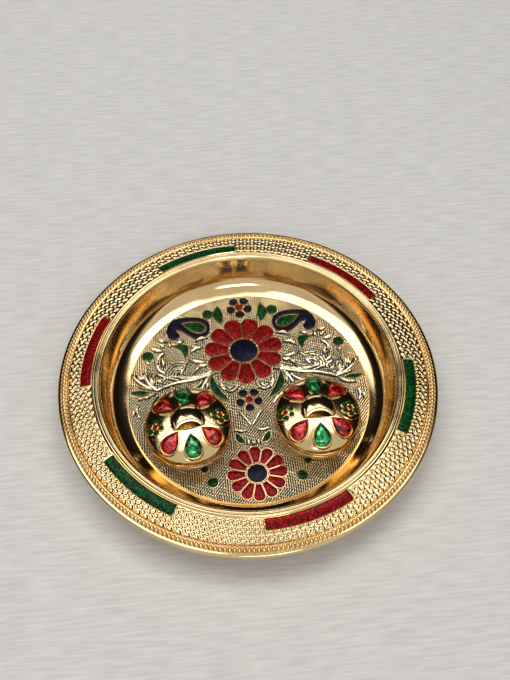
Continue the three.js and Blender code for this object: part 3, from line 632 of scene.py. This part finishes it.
def egg(inner, outer, width, fullness=0.16, count=40):
    """An egg along +X with its round end outside."""
    turns = np.arange(count) * (2 * math.pi / count)
    x = (inner + outer) / 2 + (outer - inner) / 2 * np.cos(turns)
    y = width / 2 * np.sin(turns) * (1 + fullness * np.cos(turns))
    return np.column_stack([x, y])


def wedge(inner, shoulder, outer, petals, gap):
    """A petal along +X that fills its share of the circle, with a round outer end."""
    spread = math.tan(math.pi / petals)
    side = [(r, r * spread - gap) for r in np.linspace(inner, shoulder, 10)]
    width = side[-1][1]
    for t in np.linspace(0, math.pi / 2, 10)[1:]:
        side.append((shoulder + (outer - shoulder) * math.sin(t), width * math.cos(t) ** 0.8))
    side = np.array(side)
    return np.vstack([side * (1, -1), side[-2::-1]])


def flower(name, y, petals, outline, eye, petal_colour, eye_colour, swell):
    """A flower with one petal that points to the front."""
    step = 360 / petals
    outlines = [[turned_about(outline, -90 + i * step, (0, y))] for i in range(petals)]
    cells(name + "_petals", outlines, petal_colour, swell)
    cells(name + "_centre", [[circle(eye, 40, (0, y))]], eye_colour, eye, name + "_eye")


small_petal = egg(2.7, 7.6, 5.3)
large_petal = wedge(8.7, 17.6, 22.2, 11, 0.25)
front_petal = wedge(6.1, 12.6, 15.8, 12, 0.22)
flower("back_flower", back_flower_y, 5, small_petal, 2.2, "blue", "red", 2.0)
flower("large_flower", large_flower_y, 11, large_petal, 7.9, "red", "blue", 3.0)
flower("middle_flower", middle_flower_y, 5, small_petal, 2.2, "blue", "red", 2.0)
flower("front_flower", front_flower_y, 12, front_petal, 5.4, "red", "blue", 2.4)

# Paisleys, dots and leaves, in pairs on both sides of the flowers. Each paisley has a green drop
# in a wider opening of its blue body.
paisley = (
    (-12.3, -0.5), (-11.4, 3.8), (-7.6, 6.8), (-2, 8), (4, 8), (9, 6.4), (12, 2.6), (12.6, -1.6),
    (11.6, -5.4), (8.6, -7.2), (6, -6.0), (5.6, -3.6), (7.4, -0.6), (4.4, -1.4), (1, -4.4),
    (-3.4, -7.6), (-8, -7.2), (-11.2, -4.6),
)
paisley_x, paisley_y = 30.4, 45.5
drop_centre, drop_turn = (-3.0, 1.1), -66
drop_width, drop_length = 6.8, 13.8
opening_width, opening_length = 7.8, 15.2
# Dots: radius and place.
dots = {
    "back_dot": (3.2, 18.8, 54.6),
    "side_dot": (3.2, 54.5, 28.5),
    "front_dot": (2.9, 23.4, -53.0),
}
# Leaves: length, width, bend, turn in degrees from straight back, and root.
leaves = {
    "crown_leaf": ((13.2, 5.6, 1.0, -4, 11.6, 47.0),),
    "curl_leaf": (
        (11.8, 4.8, -4.2, -38, 33.4, 24.8),
        (9.2, 2.8, -0.4, -84, 28.4, 9.0),
        (11.4, 3.3, 0.4, -86, 54.0, 4.6),
        (10.6, 3.0, 0.6, -151, 49.2, 2.6),
    ),
    "long_leaf": ((20.4, 4.5, 3.0, -26, 10.6, middle_flower_y),),
    "bud_leaf": ((8.6, 3.7, 0.9, -34, 4.3, -32.1), (4.6, 4.2, 0.2, -86, 25.0, -44.8)),
}


def drop(width, length, count=36):
    """A drop with its point towards +Y."""
    turns = np.arange(count) * (2 * math.pi / count)
    x = -width / 1.54 * np.sin(turns) * np.sin(turns / 2)
    return np.column_stack([x, length / 2 * np.cos(turns)])


for side_name, side in (("left", -1), ("right", 1)):
    paisley_place = (side * paisley_x, paisley_y)
    body_line = mirror(smooth_line(paisley, True, 0.6), side) + paisley_place
    drop_line = turned_about(drop(drop_width, drop_length), drop_turn, drop_centre)
    drop_line = mirror(drop_line, side) + paisley_place
    opening = turned_about(drop(opening_width, opening_length), drop_turn, drop_centre)
    opening = mirror(opening, side) + paisley_place
    cells("paisley_" + side_name, [[body_line, opening]], "blue", 1.6)
    cells("paisley_drop_" + side_name, [[drop_line]], "green", 2.6)
    for name, (radius, x, y) in dots.items():
        cells(f"{name}_{side_name}", [[circle(radius, 32, (side * x, y))]], "green", 3.0)
    for name, shapes in leaves.items():
        outlines = []
        for length, width, bend, turn, x, y in shapes:
            outline = turned_about(leaf(length, width, bend), turn, (x, y))
            outlines.append([mirror(outline, side)])
        cells(f"{name}_{side_name}", outlines, "green", 1.6)

# Rim enamel: six curved bars, red and green in turn, of the same enamel as the floor. They are
# fired on the flat seats in the slope of the rim.
bar_steps, bar_count, bar_depth = 91, 6, 0.1
# Across a bar, in shares of its width. The first and the last go down into the seat.
bar_section = (0, 0, 0.07, 0.2, 0.35, 0.5, 0.65, 0.8, 0.93, 1, 1)
to_end = np.minimum(np.arange(bar_steps), np.arange(bar_steps)[::-1])
round_ends = np.minimum(1, (to_end + 0.6) / 2)
for i in range(bar_count):
    colour = ("red", "green")[i % 2]
    angles = first_bar + i * bar_pitch + np.linspace(-bar_span / 2, bar_span / 2, bar_steps)
    turns = np.radians(angles)
    rows = []
    for j, across in enumerate(bar_section):
        r = bar_inner + (bar_outer - bar_inner) * across
        rise = enamel_edge + (enamel_rise - enamel_edge) * math.sin(math.pi * across) ** 0.6
        height = rise * round_ends + rim_level(r)
        if j in (0, len(bar_section) - 1):
            height = np.full(bar_steps, rim_level(r) - bar_depth)
        rows.append(np.column_stack([r * np.cos(turns), r * np.sin(turns), height]))
    vertices = np.stack(rows, 1)
    feet = vertices[[0, -1]].copy()
    feet[..., 2] = rim_level(np.hypot(feet[..., 0], feet[..., 1])) - bar_depth
    vertices = np.concatenate([feet[:1], vertices, feet[1:]])
    index = np.arange(vertices[..., 0].size).reshape(vertices.shape[:2])
    quads = np.stack([index[:-1, :-1], index[:-1, 1:], index[1:, 1:], index[1:, :-1]], -1)
    bar = (vertices.reshape(-1, 3), quads.reshape(-1, 4).tolist())
    node = f"rim_enamel_{i + 1}_{colour}"
    piece(f"rim_bar_{i + 1}", [bar], "root", colour + "_enamel", [enamels[colour]], node)

# The dish is made here, with its relief and the walls of its cells.
dish_finishes = [polished_gold, stamped_ground, raised_gold]
piece("dish", dish_parts, "root", "gold_plated_brass", dish_finishes, "tray_dish")

# Cups: two bowls spun from brass sheet, plated like the dish. A round shoulder carries the lid,
# and the neck inside it keeps the lid in place. A rivet through the floor holds each cup.
pot_radius, cup_foot, cup_sheet = 22.8, 11.0, 0.9
seat_level, seat_round = 16.2, 0.8
neck_radius, neck_inside, neck_top, neck_round = 21.6, 20.7, 18.0, 0.2
bowl_top = seat_level - 1.6
bowl_depth = bowl_top - panel_top
rivet_hole, rivet_head, rivet_shank, rivet_bottom = 1.7, 3.0, 1.5, 0.4
rivet_top = panel_top + cup_sheet
# Place of each pot, and how far its lid is turned, in degrees.
pots = {"left": (-33.73, -27.31, 7), "right": (33.73, -27.31, 0)}
bowl = [(rivet_hole, panel_top)]
bowl += arc(cup_foot, bowl_top, neck_radius - cup_foot, bowl_depth, -90, 0, 24)
shoulder_level = seat_level - seat_round
bowl += arc(neck_radius, shoulder_level, pot_radius - neck_radius, seat_round, -60, 90, 12)
bowl += [(neck_radius, seat_level), (neck_radius, neck_top - neck_round)]
bowl += [(neck_radius - neck_round, neck_top), (neck_inside + neck_round, neck_top)]
bowl += [(neck_inside, neck_top - neck_round)]
bowl += arc(cup_foot, bowl_top, neck_inside - cup_foot, bowl_depth - cup_sheet, 0, -90, 24)
bowl += [(rivet_hole, rivet_top), (rivet_hole, panel_top)]
rivet = [(0, rivet_bottom), (rivet_head - 0.4, rivet_bottom), (rivet_head, rivet_bottom + 0.2)]
rivet += [(rivet_head, panel_under), (rivet_shank, panel_under), (rivet_shank, rivet_top)]
rivet += arc(0, rivet_top, rivet_head, 0.8, 0, 90, 8)


def turned_part(profile, count=96):
    """A profile turned about Z. Its ends on the axis close to a point."""
    return skin([ring(r, z, count) if r > 0.01 else np.array([[0, 0, z]]) for r, z in profile])


def moved(part, x, y, degrees=0):
    """A part turned about Z and moved over the floor."""
    points, faces = part
    points = np.array(points, float)
    points[:, :2] = turned_about(points[:, :2], degrees, (x, y))
    return points, faces


cup_parts = (
    ("cup_shell_", "cup_", turned_part(bowl)),
    ("rivet_", "cup_rivet_", turned_part(rivet, 32)),
)
for side_name, (x, y, turn) in pots.items():
    for name, node, part in cup_parts:
        name, node = name + side_name, node + side_name
        piece(name, [moved(part, x, y)], "root", "gold_plated_brass", [polished_gold], node)

# Lids: low domes pressed from brass sheet and plated like the dish, each with a proud panel at
# the rear. A fingertip lifts a lid by the hood in its middle, which is open to the front. Its
# turned-down skirt fits over the neck of the cup.
dome_base, dome_rise, lid_bottom = 18.7, 6.8, 16.5
dome_top = dome_base + dome_rise
dome_edge, skirt_inside = 22.25, 21.9
panel_step, lid_mesh = 0.5, 0.55
hood_radius, hood_height, hood_sheet = 9.7, 5.0, 0.8
hood_y, hood_z = 0.4, dome_top - 1.9
hood_top = hood_z + hood_height
hood_hole, mouth_y, mouth_half, lip_y = 9.0, -4.6, 7.6, -0.9
hood_rows, hood_steps = 61, 33
# The lobed front edge of the rear panel, on the right side.
lobes = ((8.7, -1.0), (11.4, -3.8), (14.3, -5.9), (17.0, -6.6), (19.9, -5.2), (22.0, -3.0))


def dome(points):
    """The height of a lid's surface over local points."""
    reach = np.minimum((points**2).sum(1) / pot_radius**2, 1)
    return dome_base + dome_rise * np.sqrt(1 - reach)


def draped(part, lift=0.0):
    """A flat part laid on a lid's dome."""
    points, faces = part
    points = np.array(points, float)
    points[:, 2] += dome(points[:, :2]) + lift
    return points, faces


def hood_skin(radius, height):
    """Half of an ellipsoid, cut off along a plane that leans back from the mouth's lip."""
    rows = []
    lean = (lip_y - mouth_y) / (hood_top - dome_top)
    for u in np.linspace(-89, 89, hood_rows):
        x = radius * math.sin(math.radians(u))
        a = radius * math.cos(math.radians(u))
        b = height * a / radius
        reach = (hood_y - mouth_y + lean * (dome_top - hood_z)) / math.hypot(a, lean * b)
        phase = math.atan2(lean * b, a)
        last = math.acos(-reach) - phase if reach < 1 else math.pi
        turns = np.linspace(0, last, hood_steps)
        y, z = hood_y + a * np.cos(turns), hood_z + b * np.sin(turns)
        rows.append(np.column_stack([np.full(hood_steps, x), y, z]))
    return np.concatenate(rows)


hole_back = np.array(arc(0, hood_y, hood_hole, hood_hole, -28, 208, 40))
hole = np.vstack([hole_back, [(-mouth_half, mouth_y), (mouth_half, mouth_y)]])
lid_parts = [draped(field([circle(dome_edge + 0.05, 160), hole], 0, 0, 1, lid_mesh))]
lobe_line = smooth_line(lobes)
panel_rim = np.array(arc(0, 0, dome_edge, dome_edge, -7.5, 187.5, 120))
panel = np.vstack([lobe_line, panel_rim, mirror(lobe_line, -1), hole_back[::-1]])
lid_parts.append(draped(field([panel], panel_step, panel_step, 1, lid_mesh)))
edge_radii = np.array([dome_edge, 22.5, 22.7, 22.79])
profile = list(zip(edge_radii, dome(np.column_stack([edge_radii, 0 * edge_radii]))))
profile += [(pot_radius, dome_base), (pot_radius, lid_bottom + 0.2), (22.6, lid_bottom)]
profile += [(21.95, lid_bottom), (skirt_inside, lid_bottom + 0.2)]
profile += arc(0, dome_base, skirt_inside, dome_rise - 0.9, 0, 65, 16)
lid_parts.append(turned_part(profile))
hood_outside = hood_skin(hood_radius, hood_height)
hood_inside = hood_skin(hood_radius - hood_sheet, hood_height - hood_sheet)
inside_start = len(hood_outside)
index = np.arange(inside_start).reshape(hood_rows, hood_steps)
quads = np.stack([index[:-1, :-1], index[1:, :-1], index[1:, 1:], index[:-1, 1:]], -1)
quads = quads.reshape(-1, 4)
lip = index[:, -1]
lip_quads = np.stack([lip[:-1], lip[1:], lip[1:] + inside_start, lip[:-1] + inside_start], 1)
hood_faces = np.concatenate([quads, quads[:, ::-1] + inside_start, lip_quads])
lid_parts.append((np.concatenate([hood_outside, hood_inside]), hood_faces.tolist()))

# Stones: drop-shaped cabochons of red and green glass with foil behind them, glued in. Three in
# front and three behind point to the middle of each lid. A thin bezel of the lid holds each.
stone_width, stone_length, stone_ring, stone_pitch = 8.4, 11.6, 14.6, 45
bezel_width, bezel_length, bezel_line, bezel_rise = 9.6, 13.2, 0.8, 1.2
# From the foot to the crown: size as a share of the outline, and height over the dome.
stone_layers = ((1, 0), (1, 0.9), (0.97, 1.15), (0.88, 1.55), (0.72, 1.9), (0.5, 2.12), (0.25, 2.2))
stone_top = 2.22


def jewel(name, deep, bright, painted_spark):
    """Glass with a crinkled foil behind it, under a clear face. The folds, 4 mm apart, are bumped,
    and their colour holds painted light and shade, with a painted highlight at the spark stop."""
    material, tree, shader, place = new_material(name)
    crinkle = {"Vector": place, "Scale": 230, "Detail": 2, "Distortion": 1.6}
    crinkle = add(tree, "TexNoise", crinkle)
    # Painted shade and light on the foil's folds, and a painted highlight at the last stop.
    colours = (0.36, deep), (0.5, bright), (0.63, painted_spark)
    tint = add(tree, "ValToRGB", {"Fac": crinkle.outputs["Fac"]}, colours)
    tree.links.new(tint.outputs["Color"], shader.inputs["Base Color"])
    bump = {"Height": crinkle.outputs["Fac"], "Strength": 0.6, "Distance": 0.0015}
    bump = add(tree, "Bump", bump)
    tree.links.new(bump.outputs[0], shader.inputs["Normal"])
    shader.inputs["Metallic"].default_value = 0.75
    shader.inputs["Roughness"].default_value = 0.22
    shader.inputs["Coat Weight"].default_value = 1
    shader.inputs["Coat Roughness"].default_value = 0.02
    return material


glasses = {
    "red": jewel("foil_backed_red_glass", "#4A0004", "#BC0A12", "#F43C28"),
    "green": jewel("foil_backed_green_glass", "#002A12", "#057A36", "#38DC84"),
}
stone_outline = drop(stone_width, stone_length, 48)
bezel_outline = drop(bezel_width, bezel_length, 48)
for i in range(6):
    facing = -90 if i < 3 else 90
    angle = facing + (i % 3 - 1) * stone_pitch
    colour = "green" if i % 3 == 1 else "red"
    lift = 0 if i < 3 else panel_step
    turn_x, turn_y = math.cos(math.radians(angle)), math.sin(math.radians(angle))
    centre = (stone_ring * turn_x, stone_ring * turn_y)
    bezel = turned_about(bezel_outline, angle + 90, centre)
    lid_parts.append(draped(ribbon(bezel, bezel_line, bezel_rise, 0, True), lift))
    layers = []
    for scale, height in stone_layers:
        loop = turned_about(stone_outline * scale, angle + 90, centre)
        layers.append(np.column_stack([loop, dome(loop) + lift + height]))
    crown = np.array([[*centre, dome(np.array([centre]))[0] + lift + stone_top]])
    stone = skin([crown] + layers[::-1])
    for side_name, pot in pots.items():
        name, node = f"jewel_{side_name}_{i + 1}", f"stone_{side_name}_{i + 1}_{colour}"
        slot, body = colour + "_glass", side_name + "_lid"
        piece(name, [moved(stone, *pot)], body, slot, [glasses[colour]], node)

# Rosettes: six petals of green enamel round a red eye, fired inside thin wires. One is on each
# side of a lid's rear panel. The wires belong to the lid.
petal_radius, petal_ring, eye_radius = 1.5, 3.3, 1.15
wire_width, wire_rise = 0.42, 0.8
petal_edge, petal_rise, petal_swell, petal_mesh = 0.4, 0.8, 1.0, 0.4
for i, centre in enumerate(((-16.8, 0), (16.8, 0))):
    turns = np.radians(np.arange(6) * 60 + 30)
    places = np.column_stack([np.cos(turns), np.sin(turns)]) * petal_ring + centre
    petals = [circle(petal_radius, 20, place) for place in places]
    eye = circle(eye_radius, 20, centre)
    for loop in petals + [eye]:
        lid_parts.append(draped(ribbon(loop, wire_width, wire_rise, 0, True), panel_step))
    for name, end, colour, loops in (
        ("rosette", "petals", "green", petals),
        ("rosette_dot", "eye", "red", [eye]),
    ):
        fills = [field([loop], petal_edge, petal_rise, petal_swell, petal_mesh) for loop in loops]
        for side_name, pot in pots.items():
            parts = [moved(draped(fill, panel_step), *pot) for fill in fills]
            slot, body = colour + "_enamel", side_name + "_lid"
            node = f"rosette_{side_name}_{i + 1}_{end}"
            piece(f"{name}_{side_name}_{i + 1}", parts, body, slot, [enamels[colour]], node)

# The lids are made here, with their bezels and wires.
for side_name, pot in pots.items():
    parts = [moved(part, *pot) for part in lid_parts]
    name, body, node = "lid_shell_" + side_name, side_name + "_lid", "lid_" + side_name
    piece(name, parts, body, "gold_plated_brass", [polished_gold], node)
